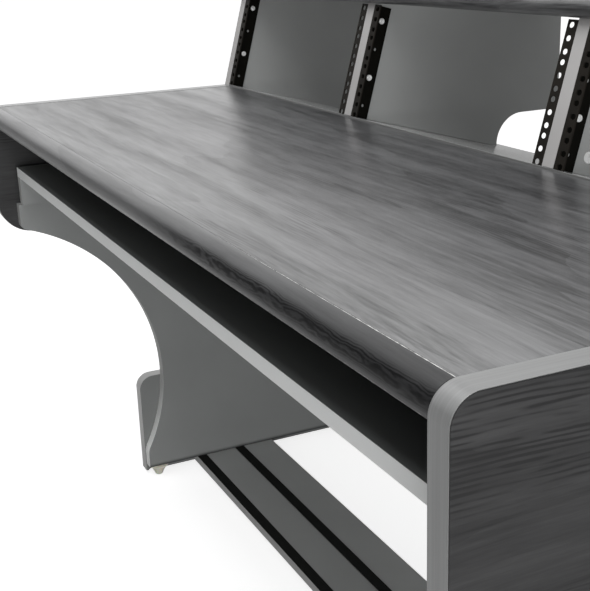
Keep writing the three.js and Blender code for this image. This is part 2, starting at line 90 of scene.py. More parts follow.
def move_point(tree, operation, point, by):
    """A point after a sum with another, axis by axis."""
    return add_node(
        tree, "ShaderNodeVectorMath", {0: point, 1: by}, operation=operation
    ).outputs[0]


def noise(tree, point, scale, detail, roughness=0.5):
    """A noise round 0.5 at the point times the scale, which may differ along X, Y and Z."""
    if isinstance(scale, tuple):
        point, scale = move_point(tree, "MULTIPLY", point, scale), 1.0
    return add_node(
        tree, "ShaderNodeTexNoise",
        {"Vector": point, "Scale": scale, "Detail": detail, "Roughness": roughness},
    ).outputs[0]


def ramp(tree, value, start, end, low=0.0, high=1.0, kind="SMOOTHSTEP"):
    """Goes from low to high as the value goes from start to end, and stays there beyond."""
    return add_node(
        tree, "ShaderNodeMapRange",
        {"Value": value, "From Min": start, "From Max": end, "To Min": low, "To Max": high},
        interpolation_type=kind,
    ).outputs[0]


def blend(tree, share, dark, light):
    """A colour that goes from dark to light as the share goes from 0 to 1."""
    dark, light = [(*one, 1.0) if isinstance(one, tuple) else one for one in (dark, light)]
    return add_node(
        tree, "ShaderNodeMix", {0: share, 6: dark, 7: light}, data_type="RGBA"
    ).outputs[2]


def object_point(tree):
    """The shaded point's place on the resting desk."""
    return add_node(tree, "ShaderNodeTexCoord").outputs["Object"]


def axes_of(tree, point):
    """The X, Y and Z of a point."""
    return add_node(tree, "ShaderNodeSeparateXYZ", {0: point}).outputs


def add_relief(tree, shader, height, strength, depth):
    """Raises the surface where the height, from 0 to 1, is large, by up to the depth."""
    bump = add_node(
        tree, "ShaderNodeBump", {"Height": height, "Strength": strength, "Distance": depth}
    )
    tree.links.new(bump.outputs[0], shader.inputs["Normal"])


def new_material(name, numbers):
    """A material, its tree and its Principled shader, whose plain inputs take these numbers."""
    made = bpy.data.materials.new(name)
    made.use_nodes = True
    shader = made.node_tree.nodes["Principled BSDF"]
    for title, value in numbers.items():
        shader.inputs[title].default_value = value
    return made, made.node_tree, shader


def make_wood_print():
    """Printed wood along X, on a point that a slow noise pushes across the grain. Rings darken
    slowly up to a sharp edge, where a noise times the ring count passes each whole number. Grain
    lines are the crests of a sine across the grain, bent by a noise, kept to patches, which the
    line reach widens, and broken along their way. Streaks and fibres are stretched noises. Puts
    out colour, tone from 0 to 1, gloss and relief."""
    group = bpy.data.node_groups.new("wood_print", "ShaderNodeTree")
    numbers = ("Ring Count", "Ring Depth", "Streak Depth", "Fibre Depth", "Lines per Metre",
               "Line Depth", "Line Reach")
    inputs = {"Vector": "Vector", "Dark": "Color", "Light": "Color"}
    inputs.update(dict.fromkeys(numbers, "Float"))
    outputs = {"Color": "Color", "Tone": "Float", "Gloss": "Float", "Relief": "Float"}
    for way, sockets in (("INPUT", inputs), ("OUTPUT", outputs)):
        for title, kind in sockets.items():
            group.interface.new_socket(title, in_out=way, socket_type=f"NodeSocket{kind}")
    given = group.nodes.new("NodeGroupInput").outputs
    end = group.nodes.new("NodeGroupOutput")
    work, stretched = partial(calculate, group), partial(noise, group)

    def about_half(value):
        """The value, counted from a half."""
        return work("SUBTRACT", value, 0.5)

    point = given["Vector"]
    push = move_point(
        group, "MULTIPLY", stretched(point, (2.2, 6.0, 6.0), 2.0), (0.0, 0.02, 0.02)
    )
    point = move_point(group, "ADD", point, push)
    drift = stretched(point, (0.8, 7.0, 7.0), 2.0, 0.45)
    wander = stretched(point, (4.0, 34.0, 34.0), 3.0, 0.55)
    broad = stretched(point, (2.0, 24.0, 24.0), 4.0, 0.6)
    streak = stretched(point, (5.0, 100.0, 100.0), 4.0, 0.65)
    fibre = stretched(point, (15.0, 280.0, 280.0), 3.0, 0.75)
    patch = stretched(point, (1.8, 9.0, 9.0), 2.0)
    breaks = stretched(point, (16.0, 70.0, 70.0), 2.0)

    ring_waver, ring_power = 0.3, 2.0
    level = work("MULTIPLY", drift, given["Ring Count"])
    level = work("MULTIPLY_ADD", wander, ring_waver, level)
    ring = work("POWER", work("FRACT", level), ring_power)

    line_bend, line_waver, line_power = 0.05, 2.8, 3.0
    patch_gain, break_gain = 6.0, 5.0
    axes = axes_of(group, point)
    across = work("ADD", axes[1], axes[2])
    turns = work("MULTIPLY", across, given["Lines per Metre"])
    bend = work("MULTIPLY", drift, given["Lines per Metre"])
    turns = work("MULTIPLY_ADD", bend, line_bend, turns)
    turns = work("MULTIPLY_ADD", wander, line_waver, turns)
    line = work("SINE", work("MULTIPLY", turns, 2 * math.pi))
    line = work("POWER", work("MULTIPLY_ADD", line, 0.5, 0.5), line_power)
    fade = work("MULTIPLY_ADD", about_half(patch), patch_gain, given["Line Reach"], clamp=True)
    broken = work("MULTIPLY_ADD", about_half(breaks), break_gain, 0.5, clamp=True)
    line = work("MULTIPLY", work("MULTIPLY", line, fade), broken)

    thin_streak_share = 0.6
    tone = work("MULTIPLY_ADD", about_half(broad), given["Streak Depth"], 0.5)
    thin_depth = work("MULTIPLY", given["Streak Depth"], thin_streak_share)
    tone = work("MULTIPLY_ADD", about_half(streak), thin_depth, tone)
    tone = work("MULTIPLY_ADD", about_half(fibre), given["Fibre Depth"], tone)
    depth = work("MULTIPLY", ring, given["Ring Depth"])
    depth = work("MULTIPLY_ADD", line, given["Line Depth"], depth)
    tone = work("SUBTRACT", tone, depth, clamp=True)
    mean_gloss, broad_gloss, fibre_gloss = 0.31, -0.2, 0.06
    gloss = work("MULTIPLY_ADD", about_half(broad), broad_gloss, mean_gloss)
    gloss = work("MULTIPLY_ADD", fibre, fibre_gloss, gloss)
    fibre_height, ring_height, line_height = 0.4, -0.6, -0.8
    relief = work("MULTIPLY_ADD", fibre, fibre_height, work("MULTIPLY", ring, ring_height))
    relief = work("MULTIPLY_ADD", line, line_height, relief)
    colour = blend(group, tone, given["Dark"], given["Light"])
    for title, socket in (("Color", colour), ("Tone", tone), ("Gloss", gloss), ("Relief", relief)):
        group.links.new(socket, end.inputs[title])
    return group


wood_print = make_wood_print()


def make_laminate(name, dark, light, figure, film, numbers, turned=False, shift=(0.0, 0.0, 0.0),
                  relief=0.00004, gloss_shift=0.0, lay=None):
    """Laminate with the wood print under a satin film, whose weight is the first number of film
    plus the second times the tone. figure gives the print's numbers, and numbers the shader's.
    turned lays the grain along Y instead of X, shift slides the print, and lay, where given,
    turns the Object point into the print's own point."""
    made, tree, shader = new_material(name, {"Coat Roughness": 0.25, **numbers})
    point = object_point(tree)
    if lay:
        point = lay(tree, point)
    turned_by = (0.0, 0.0, math.pi / 2 if turned else 0.0)
    point = add_node(
        tree, "ShaderNodeMapping", {"Vector": point, "Location": shift, "Rotation": turned_by}
    ).outputs[0]
    printed = add_node(
        tree, "ShaderNodeGroup",
        {"Vector": point, "Dark": (*dark, 1.0), "Light": (*light, 1.0), **figure},
        name="print", node_tree=wood_print,
    ).outputs
    gloss = calculate(tree, "ADD", printed["Gloss"], gloss_shift)
    weight = calculate(tree, "MULTIPLY_ADD", printed["Tone"], film[1], film[0])
    tree.links.new(printed["Color"], shader.inputs["Base Color"])
    tree.links.new(gloss, shader.inputs["Roughness"])
    tree.links.new(weight, shader.inputs["Coat Weight"])
    add_relief(tree, shader, printed["Relief"], 0.6, relief)
    return made


def paint_sheen_patch(made, middle, reach, gain):
    """Paints a sheen round a point by making the film heavier there: its weight times one plus the
    gain, falling to one where the distance, squashed by the reach along each axis, passes one."""
    tree = made.node_tree
    weight = tree.nodes["Principled BSDF"].inputs["Coat Weight"]
    away = move_point(tree, "SUBTRACT", object_point(tree), middle)
    away = move_point(tree, "DIVIDE", away, reach)
    away = add_node(tree, "ShaderNodeVectorMath", {0: away}, operation="LENGTH").outputs["Value"]
    times = ramp(tree, away, 0.0, 1.0, 1.0 + gain, 1.0)
    thick = calculate(tree, "MULTIPLY", weight.links[0].from_socket, times, clamp=True)
    tree.links.new(thick, weight)


top_laminate = make_laminate(
    "top_laminate", (0.016, 0.0165, 0.0175), (0.145, 0.147, 0.151),
    {"Ring Count": 9.0, "Ring Depth": 0.25, "Streak Depth": 1.4, "Fibre Depth": 1.4,
     "Lines per Metre": 230.0, "Line Depth": 0.6, "Line Reach": 0.15},
    film=(0.2, 0.33), numbers={"Coat IOR": 2.0},
)
# Painted sheen: the film is up to three times heavier round the front right corner, so it mirrors
# more there.
paint_sheen_patch(top_laminate, middle=(0.75, -0.45, 0.795), reach=(0.5, 0.12, 1.0), gain=2.0)
nodes["worktop"].data.materials.clear()
nodes["worktop"].data.materials.append(top_laminate)


# Nose: the slab's half-round front, wrapped in the same laminate, whose print shows nested arches.
# Its print is darker than the top's, and darker still to the right and below the front: painted
# shade.
# A fine pale line shows where the film was trimmed, along the top and below the front; towards the
# right it is brightened by a painted highlight.
def arc(centre, radius, start, end, steps):
    """Points at centre plus radius times the cosine and sine of angles from start to end."""
    angles = np.radians(np.linspace(start, end, steps + 1))
    return np.stack(
        [centre[0] + radius * np.cos(angles), centre[1] + radius * np.sin(angles)], axis=1
    )


def prism(outline, low_x, high_x):
    """Carries an outline of Y and Z from one X to the other. Returns points and faces: a quad for
    each of its steps, and last the two flat ends."""
    outline = np.asarray(outline, float)
    ahead = np.roll(outline, -1, axis=0)
    if np.sum(outline[:, 0] * ahead[:, 1] - ahead[:, 0] * outline[:, 1]) < 0:
        outline = outline[::-1]
    count = len(outline)
    points = np.empty((2 * count, 3))
    points[:count, 0] = low_x
    points[count:, 0] = high_x
    points[:, 1:] = np.tile(outline, (2, 1))
    here = np.arange(count)
    after = np.roll(here, -1)
    quads = np.stack([here, after, after + count, here + count], axis=1).tolist()
    return points, quads + [here[::-1].tolist(), (here + count).tolist()]


def add_piece(name, points, faces, materials, body, slot, stands_for=(), picks=None, crease=30.0):
    """Makes a mesh object: smooth faces, creased where they turn by more than the angle in
    degrees; picks gives each face's material number."""
    mesh = bpy.data.meshes.new(name)
    mesh.from_pydata(np.asarray(points).tolist(), [], faces)
    for one in materials:
        mesh.materials.append(one)
    if picks is not None:
        mesh.polygons.foreach_set("material_index", np.asarray(picks, np.int32))
    mesh.polygons.foreach_set("use_smooth", np.ones(len(mesh.polygons), bool))
    mesh.set_sharp_from_angle(angle=math.radians(crease))
    mesh.update()
    piece = bpy.data.objects.new(name, mesh)
    bpy.context.collection.objects.link(piece)
    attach(piece, body)
    if stands_for:
        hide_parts(*stands_for)
    return piece


nose_low, nose_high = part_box("worktop_nose")
nose_radius = (nose_high.z - nose_low.z) / 2
nose_centre = (nose_high.y, (nose_low.z + nose_high.z) / 2)


def round_nose(tree, point):
    """The print's point on the nose: X stays, and Y becomes the length of arc up from the front,
    which is the radius times the angle about the nose's axis."""
    axes = axes_of(tree, point)
    up = calculate(tree, "SUBTRACT", axes[2], nose_centre[1])
    ahead = calculate(tree, "SUBTRACT", nose_centre[0], axes[1])
    climb = calculate(tree, "MULTIPLY", calculate(tree, "ARCTAN2", up, ahead), nose_radius)
    return add_node(tree, "ShaderNodeCombineXYZ", {0: axes[0], 1: climb}).outputs[0]


def add_arches(made, axis, half_width, loops, band):
    """Draws nested arches along the nose's print: dark lines where the squared distance from a
    swaying axis over the half width, plus a noise times the number of loops, passes each whole
    number. band is how far the print under them is darkened, partly the figure's dark heart and
    partly painted shade. All of it fades in from left to right, and the film grows thinner over
    it. Painted shade also darkens the print towards the right and thins the film below the front."""
    tree = made.node_tree
    work, cloud, slope = (partial(one, tree) for one in (calculate, noise, ramp))
    printed = tree.nodes["print"]
    shader = tree.nodes["Principled BSDF"]
    point = printed.inputs["Vector"].links[0].from_socket
    axes = axes_of(tree, point)
    x, climb = axes[0], axes[1]

    sway_by, line_power, line_depth = 1.2, 1.7, 1.05
    off = work("DIVIDE", work("SUBTRACT", climb, axis), half_width)
    sway = cloud(point, (14.0, 0.0, 0.0), 3.0)
    off = work("MULTIPLY_ADD", sway, sway_by, work("SUBTRACT", off, sway_by / 2))
    level = cloud(point, (24.0, 90.0, 90.0), 5.0)
    level = work("MULTIPLY_ADD", level, loops, work("MULTIPLY", off, off))
    arch = work("MULTIPLY", work("PINGPONG", level, 0.5), 2.0)
    arch = work("POWER", arch, line_power)

    distance = work("ABSOLUTE", off)
    along = slope(x, 0.1, 0.42)
    near = work("SUBTRACT", 1.0, slope(distance, 0.9, 2.4))
    arch = work("MULTIPLY", work("MULTIPLY", arch, near), along)
    # The dark core band is partly the figure's dark heart and partly painted shade over the front.
    core = work("SUBTRACT", 1.0, slope(distance, 0.0, 2.6))
    dark = work("MULTIPLY", work("MULTIPLY", core, along), band)
    keep = work("SUBTRACT", 1.0, work("MULTIPLY_ADD", arch, line_depth, dark), clamp=True)
    # Painted shade: the print darkens by up to 45 % towards the right end, and the film below the
    # front is thinned by up to 55 %, which weakens its reflection.
    right_shade, film_loss = 0.45, 0.55
    shade = work("MULTIPLY_ADD", slope(x, 0.1, 0.72), -right_shade, 1.0)
    keep = work("MULTIPLY", keep, shade)

    film = shader.inputs["Coat Weight"]
    under = work("SUBTRACT", 1.0, slope(climb, -0.004, 0.017))
    thinner = work("MULTIPLY_ADD", work("MULTIPLY", under, along), -film_loss, 1.0)
    thin = work("MULTIPLY", film.links[0].from_socket, work("MULTIPLY", keep, thinner))
    tree.links.new(thin, film)
    shaded = blend(tree, keep, (0.006, 0.006, 0.0065), printed.outputs["Color"])
    tree.links.new(shaded, shader.inputs["Base Color"])


# Painted shade: the nose's print is a darker copy of the top's laminate.
nose_laminate = make_laminate(
    "nose_laminate", (0.016, 0.016, 0.017), (0.085, 0.087, 0.090),
    {"Ring Count": 9.0, "Ring Depth": 0.2, "Streak Depth": 0.9, "Fibre Depth": 0.7,
     "Lines per Metre": 240.0, "Line Depth": 0.3, "Line Reach": 0.0},
    film=(0.72, 0.5), numbers={"Specular IOR Level": 0.1}, lay=round_nose,
)
add_arches(nose_laminate, axis=0.003, half_width=0.0055, loops=5.0, band=0.45)

# The pale line is partly the film's trimmed seam and partly a painted highlight, which grows
# towards the right end.
trim_and_highlight_line, tree, shader = new_material("trim_and_highlight_line", {
    "Roughness": 0.4, "Coat Weight": 0.5, "Coat Roughness": 0.25, "Specular IOR Level": 0.2,
})
place = object_point(tree)
paleness_gain, paleness_shift = 3.0, -0.9
paleness = noise(tree, place, 160.0, 3.0)
paleness = calculate(tree, "MULTIPLY_ADD", paleness, paleness_gain, paleness_shift, clamp=True)
highlight_to_right = ramp(tree, axes_of(tree, place)[0], 0.28, 0.64, 0.03, 1.0, "LINEAR")
paleness = calculate(tree, "MULTIPLY", paleness, highlight_to_right)
tint = blend(tree, paleness, (0.06, 0.06, 0.06), (0.80, 0.80, 0.79))
tree.links.new(tint, shader.inputs["Base Color"])

# Each stretch of the nose's outline: the angle that it ends at, its steps, and its material.
nose_stretches = ((92.2, 1, 1), (218.0, 52, 0), (221.0, 2, 1), (270.0, 20, 0))
nose_outline, picks, angle = arc(nose_centre, nose_radius, 90.0, 90.0, 0), [], 90.0
for end, steps, material in nose_stretches:
    stretch = arc(nose_centre, nose_radius, angle, end, steps)[1:]
    nose_outline = np.concatenate([nose_outline, stretch])
    picks += [material] * steps
    angle = end
points, faces = prism(nose_outline, nose_low.x, nose_high.x)
picks += [0] * (len(faces) - len(picks))
add_piece(
    "nose", points, faces, [nose_laminate, trim_and_highlight_line], "desk_frame", "worktop_laminate",
    ["worktop_nose"], picks,
)


# Cheeks: 26 mm side boards in dark laminate, grain along the depth, with large rounded corners.
# A 1 mm band in a lighter grey is glued round the whole exposed edge.
tilt = math.radians(15.6)
rack_y, worktop_z = 0.033, 0.795
rack_floor_v, rack_board_thick = 0.0025, 0.022


def from_rack(u, v):
    """Desk Y and Z of a point u back along the bridge's floor and v up along its front."""
    return np.stack([
        rack_y + u * math.cos(tilt) + v * math.sin(tilt),
        worktop_z - u * math.sin(tilt) + v * math.cos(tilt),
    ], axis=-1)


def rack_line_z(v, y):
    """Height of the line of constant v at this Y."""
    return worktop_z + (v - (y - rack_y) * math.sin(tilt)) / math.cos(tilt)


def rack_line_y(u, z):
    """Y of the line of constant u at this height."""
    return rack_y + (u + (z - worktop_z) * math.sin(tilt)) / math.cos(tilt)


joint = 0.0003
desk_front, desk_rear = -0.443, 0.443
cheek_top_z, cheek_low_z = 0.7955, 0.558
cheek_top_radius, cheek_low_radius, cheek_rear_radius = 0.0245, 0.063, 0.028
under_bridge_v = rack_floor_v - rack_board_thick - joint
band_thick = 0.001


def cheek_run(inset):
    """The cheek's exposed edge, moved in by inset: along the top to the front, round the two
    front corners, and back along the bottom to the rear."""
    top = cheek_top_z - inset
    rear = desk_rear - inset
    return np.concatenate([
        [[rack_line_y(-joint, top), top]],
        arc((desk_front + cheek_top_radius, cheek_top_z - cheek_top_radius),
            cheek_top_radius - inset, 90.0, 180.0, 20),
        arc((desk_front + cheek_low_radius, cheek_low_z + cheek_low_radius),
            cheek_low_radius - inset, 180.0, 270.0, 28),
        arc((desk_rear - cheek_rear_radius, cheek_low_z + cheek_rear_radius),
            cheek_rear_radius - inset, 270.0, 360.0, 16),
        [[rear, rack_line_z(under_bridge_v, rear)]],
    ])


def soften(piece):
    """Rounds the piece's sharp edges with a live bevel of 0.6 mm."""
    bevel = piece.modifiers.new("soft_edges", "BEVEL")
    bevel.width = 0.0006
    bevel.segments = 2
    bevel.limit_method = "ANGLE"
    bevel.angle_limit = math.radians(30.0)
    bevel.harden_normals = True


def make_clouded(name, numbers, dark, light, scale, detail, roughness=0.5):
    """A finish whose colour wanders between two with a noise. Returns it with its tree, its
    shader and the noise."""
    made, tree, shader = new_material(name, numbers)
    cloud = noise(tree, object_point(tree), scale, detail, roughness)
    tree.links.new(blend(tree, cloud, dark, light), shader.inputs["Base Color"])
    return made, tree, shader, cloud


cheek_laminate = make_laminate(
    "cheek_laminate", (0.008, 0.008, 0.0085), (0.046, 0.046, 0.047),
    {"Ring Count": 8.0, "Ring Depth": 0.15, "Streak Depth": 0.8, "Fibre Depth": 0.9,
     "Lines per Metre": 200.0, "Line Depth": 1.1},
    film=(0.0, 0.0), numbers={"Specular IOR Level": 0.35}, turned=True, shift=(0.9, 0.2, 0.35),
    relief=0.00003, gloss_shift=0.22,
)
tree = cheek_laminate.node_tree
line_reach = ramp(tree, axes_of(tree, object_point(tree))[2], 0.68, 0.76, -0.4, 0.8, "LINEAR")
tree.links.new(line_reach, tree.nodes["print"].inputs["Line Reach"])

edge_band, tree, shader, streaks = make_clouded(
    "edge_band", {"Roughness": 0.34, "Coat Weight": 0.6, "Coat Roughness": 0.3},
    (0.135, 0.137, 0.137), (0.265, 0.268, 0.268), (420.0, 5.0, 5.0), 4.0,
)
add_relief(tree, shader, streaks, 0.3, 0.00005)

for side in ("left", "right"):
    low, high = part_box(f"{side}_cheek")
    outline = np.concatenate([cheek_run(band_thick), [from_rack(-joint, under_bridge_v)]])
    add_piece(
        f"{side}_cheek_board", *prism(outline, low.x, high.x), [cheek_laminate], "desk_frame",
        "cheek_laminate", [f"{side}_cheek"],
    )
    outline = np.concatenate([cheek_run(0.0), cheek_run(band_thick)[::-1]])
    soften(add_piece(
        f"{side}_cheek_band", *prism(outline, low.x, high.x), [edge_band], "desk_frame",
        "edge_band", [f"{side}_cheek_edge_band"],
    ))


# Legs: flat 22 mm melamine boards, hollowed in front by one knee arc between brow and toe.
# Their sawn edges carry a thin band of a paler grey, which a painted highlight makes paler still
# near the floor; a painted shadow darkens the boards along their bottom edge.
def make_melamine(name, colour, spread=0.06, roughness=0.42, numbers=None):
    """Plain pressed melamine: a fine pearl relief and faint cloudy changes of tone."""
    made, tree, shader = new_material(name, numbers or {})
    place = object_point(tree)
    pearl_share, gloss_spread = 0.5, 0.12
    cloud = noise(tree, place, 9.0, 5.0)
    pearl = noise(tree, place, 1400.0, 2.0)
    tone = calculate(tree, "MULTIPLY_ADD", pearl, pearl_share, cloud)
    dark = tuple(c * (1 - spread) for c in colour)
    light = tuple(c * (1 + spread) for c in colour)
    tint = blend(tree, ramp(tree, tone, 0.45, 1.05, kind="LINEAR"), dark, light)
    tree.links.new(tint, shader.inputs["Base Color"])
    gloss = calculate(tree, "MULTIPLY_ADD", cloud, gloss_spread, roughness - gloss_spread / 2)
    tree.links.new(gloss, shader.inputs["Roughness"])
    add_relief(tree, shader, pearl, 0.35, 0.00006)
    return made


def paint_light_by_height(made, low_z, high_z, most):
    """Paints light or shade on a board towards the floor: its colour times one above high_z,
    turning to most at low_z, and broken up by a noise."""
    tree = made.node_tree
    colour = tree.nodes["Principled BSDF"].inputs["Base Color"]
    place = object_point(tree)
    rough, raggedness = noise(tree, place, 55.0, 5.0), 0.12 * (high_z - low_z)
    height = calculate(tree, "MULTIPLY_ADD", rough, raggedness, axes_of(tree, place)[2])
    painted_colour = add_node(
        tree, "ShaderNodeVectorMath",
        {0: colour.links[0].from_socket, "Scale": ramp(tree, height, low_z, high_z, most, 1.0)},
        operation="SCALE",
    )
    tree.links.new(painted_colour.outputs[0], colour)


def sides_second(faces):
    """Material numbers for a prism: 1 on its side faces and 0 on its two ends."""
    return np.array([1] * (len(faces) - 2) + [0, 0])


leg_front, leg_rear = -0.409, 0.418
leg_low_z, leg_shelf_z = 0.023, 0.615
leg_step_y, leg_seat_z = -0.017, 0.757 - joint
brow_drop, brow_radius = 0.0454, 0.012
toe_back, toe_rise, toe_radius = 0.2432, 0.0389, 0.040
knee_radius_share = 0.6412
brow_z = leg_shelf_z - brow_drop
toe_y, toe_z = desk_front + toe_back, leg_low_z + toe_rise
chord = math.hypot(toe_y - leg_front, brow_z - toe_z)
knee_radius = knee_radius_share * chord
knee_offset = math.sqrt(knee_radius ** 2 - chord ** 2 / 4)
knee = (
    (leg_front + toe_y) / 2 - knee_offset * (brow_z - toe_z) / chord,
    (brow_z + toe_z) / 2 - knee_offset * (toe_y - leg_front) / chord,
)
brow = (leg_front + brow_radius, knee[1] + math.sqrt(
    (knee_radius + brow_radius) ** 2 - (leg_front + brow_radius - knee[0]) ** 2))
toe = (toe_y + toe_radius, knee[1] - math.sqrt(
    (knee_radius + toe_radius) ** 2 - (toe_y + toe_radius - knee[0]) ** 2))
brow_angle = math.degrees(math.atan2(brow[1] - knee[1], brow[0] - knee[0]))
toe_angle = math.degrees(math.atan2(toe[1] - knee[1], toe[0] - knee[0]))
slope_y = rack_y + (worktop_z - leg_seat_z + under_bridge_v / math.cos(tilt)) / math.tan(tilt)
leg_outline = np.concatenate([
    [[toe_y, leg_low_z], [leg_rear, leg_low_z], [leg_rear, rack_line_z(under_bridge_v, leg_rear)],
     [slope_y, leg_seat_z], [leg_step_y, leg_seat_z], [leg_step_y, leg_shelf_z],
     [leg_front, leg_shelf_z]],
    arc(brow, brow_radius, 180.0, 180.0 + brow_angle, 10),
    arc(knee, knee_radius, brow_angle, toe_angle, 72)[1:],
    arc(toe, toe_radius, 180.0 + toe_angle, 180.0, 12)[1:],
])
leg_board = make_melamine("leg_board", (0.270, 0.278, 0.275))
leg_edge = make_melamine("leg_edge", (0.36, 0.365, 0.36), spread=0.04, roughness=0.36)
# Painted highlight: the edge band turns up to 2.7 times paler towards the floor, where it faces up.
paint_light_by_height(leg_edge, low_z=0.06, high_z=0.30, most=2.7)
# Painted shadow: the board's bottom 9 mm darkens to about an eighth, a dark line along the floor.
paint_light_by_height(leg_board, low_z=leg_low_z, high_z=leg_low_z + 0.009, most=0.12)
for side in ("left", "right"):
    low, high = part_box(f"{side}_leg")
    points, faces = prism(leg_outline, low.x, high.x)
    soften(add_piece(
        f"{side}_leg_board", points, faces, [leg_board, leg_edge], "desk_frame", "grey_board",
        [f"{side}_leg"], sides_second(faces),
    ))


# Foot panels: short boards in the cheeks' plane, screwed to the legs' outer faces down to the floor
# glides. Their undersides are hollowed round the glides' wide tops.
def cut_away(piece, points, faces):
    """Takes a closed shape out of the piece's mesh, exactly, and keeps the rest."""
    mesh = bpy.data.meshes.new("cutter")
    mesh.from_pydata(np.asarray(points).tolist(), [], faces)
    cutter = bpy.data.objects.new("cutter", mesh)
    bpy.context.collection.objects.link(cutter)
    cut = piece.modifiers.new("cut", "BOOLEAN")
    cut.operation = "DIFFERENCE"
    cut.solver = "EXACT"
    cut.object = cutter
    bpy.context.view_layer.update()
    result = bpy.data.meshes.new_from_object(
        piece.evaluated_get(bpy.context.evaluated_depsgraph_get())
    )
    piece.modifiers.remove(cut)
    piece.data = result
    bpy.data.objects.remove(cutter)


round_sides = 48


def spin(profile, sides=round_sides):
    """Turns an open profile of radius and height about Z; its ends lie on the axis."""
    profile = np.asarray(profile, float)
    turn_by = np.linspace(0.0, 2 * math.pi, sides, endpoint=False)
    radius, height = profile[1:-1, :1], profile[1:-1, 1:]
    points = np.concatenate([
        np.stack([
            radius * np.cos(turn_by), radius * np.sin(turn_by), height + 0 * turn_by
        ], axis=-1).reshape(-1, 3),
        [[0.0, 0.0, profile[0, 1]], [0.0, 0.0, profile[-1, 1]]],
    ])
    here = np.arange(len(radius) * sides).reshape(-1, sides)
    after = np.roll(here, -1, axis=1)
    quads = np.stack([here[:-1], after[:-1], after[1:], here[1:]], axis=-1).reshape(-1, 4).tolist()
    start, end = len(points) - 2, len(points) - 1
    bottom = np.stack([np.full(sides, start), after[0], here[0]], axis=1).tolist()
    top = np.stack([here[-1], after[-1], np.full(sides, end)], axis=1).tolist()
    return points, bottom + quads + top


def plug(radius, height):
    """A plain round plug that stands on Z = 0, to cut a bore with."""
    return spin([[0.0, 0.0], [radius, 0.0], [radius, height], [0.0, height]])


# Painted shade: the foot panels wear a darker copy of the legs' grey melamine.
foot_board = make_melamine("foot_board", (0.230, 0.237, 0.234))
foot_edge = make_melamine("foot_edge", (0.58, 0.58, 0.575), spread=0.04, roughness=0.36)
foot_corner = 0.028
glide_radius, relief_radius, relief_over = 0.021, 0.022, 0.001
glide_inset = 0.022
glide_x = (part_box("right_leg")[0].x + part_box("right_leg")[1].x) / 2
glide_ys = (toe_y + glide_inset, leg_rear - glide_inset)
for side, sign in (("left", -1), ("right", 1)):
    low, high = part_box(f"{side}_foot_panel")
    outline = np.concatenate([
        [[low.y, low.z], [high.y, low.z]],
        arc((high.y - foot_corner, high.z - foot_corner), foot_corner, 0.0, 90.0, 16),
        arc((low.y + foot_corner, high.z - foot_corner), foot_corner, 90.0, 180.0, 16),
    ])
    points, faces = prism(outline, low.x, high.x)
    foot = add_piece(
        f"{side}_foot_board", points, faces, [foot_board, foot_edge], "desk_frame", "grey_board",
        [f"{side}_foot_panel"], sides_second(faces),
    )
    for y in glide_ys:
        points, faces = plug(relief_radius, leg_low_z + relief_over)
        cut_away(foot, points + [sign * glide_x, y, 0.0], faces)
    soften(foot)


# Glides: cream nylon cones on threaded studs, two under each leg. They are turned in one piece,
# narrow on the floor and widest at the flange that meets the leg.
nylon = make_clouded(
    "nylon", {"Roughness": 0.38, "Subsurface Weight": 0.15, "Subsurface Scale": 0.004},
    (0.80, 0.79, 0.66), (0.94, 0.93, 0.82), 60.0, 3.0,
)[0]
glide_seat, glide_sides = leg_low_z - joint, 56
glide_shares = np.array([
    [0.0, 0.0], [0.16, 0.0], [0.24, 0.012], [0.31, 0.04], [0.36, 0.09], [0.40, 0.15],
    [0.43, 0.22], [0.48, 0.33], [0.54, 0.45], [0.62, 0.58], [0.70, 0.71], [0.78, 0.82],
    [0.88, 0.885], [0.97, 0.92], [0.995, 0.94], [1.0, 0.965], [0.985, 0.99], [0.96, 1.0],
    [0.0, 1.0],
])
for side, sign in (("left", -1), ("right", 1)):
    for end, y in zip(("front", "rear"), glide_ys):
        points, faces = spin(glide_shares * [glide_radius, glide_seat], glide_sides)
        add_piece(
            f"{side}_{end}_glide_cone", points + [sign * glide_x, y, 0.0], faces, [nylon],
            "desk_frame", "glide_nylon", [f"{side}_{end}_glide"], crease=50.0,
        )


# Footrest: a 16 mm melamine board that ties the legs together low down, its front edge banded.
# Two ribbed rubber strips are glued across it for the shoes, dusty from use.
def add_board(name, node, materials, edge_faces, body="desk_frame"):
    """A board that fills the CAD node's box, with soft edges; edge_faces lists which of its six
    faces (-X, +X, -Y, +Y, -Z, +Z) wear the second material."""
    low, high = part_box(node)
    corners = [
        [x, y, z] for x in (low.x, high.x) for y in (low.y, high.y) for z in (low.z, high.z)
    ]
    faces = [[0, 1, 3, 2], [4, 6, 7, 5], [0, 4, 5, 1], [2, 3, 7, 6], [0, 2, 6, 4], [1, 5, 7, 3]]
    picks = [int(number in edge_faces) for number in range(6)]
    soften(add_piece(name, corners, faces, materials, body, "grey_board", [node], picks))


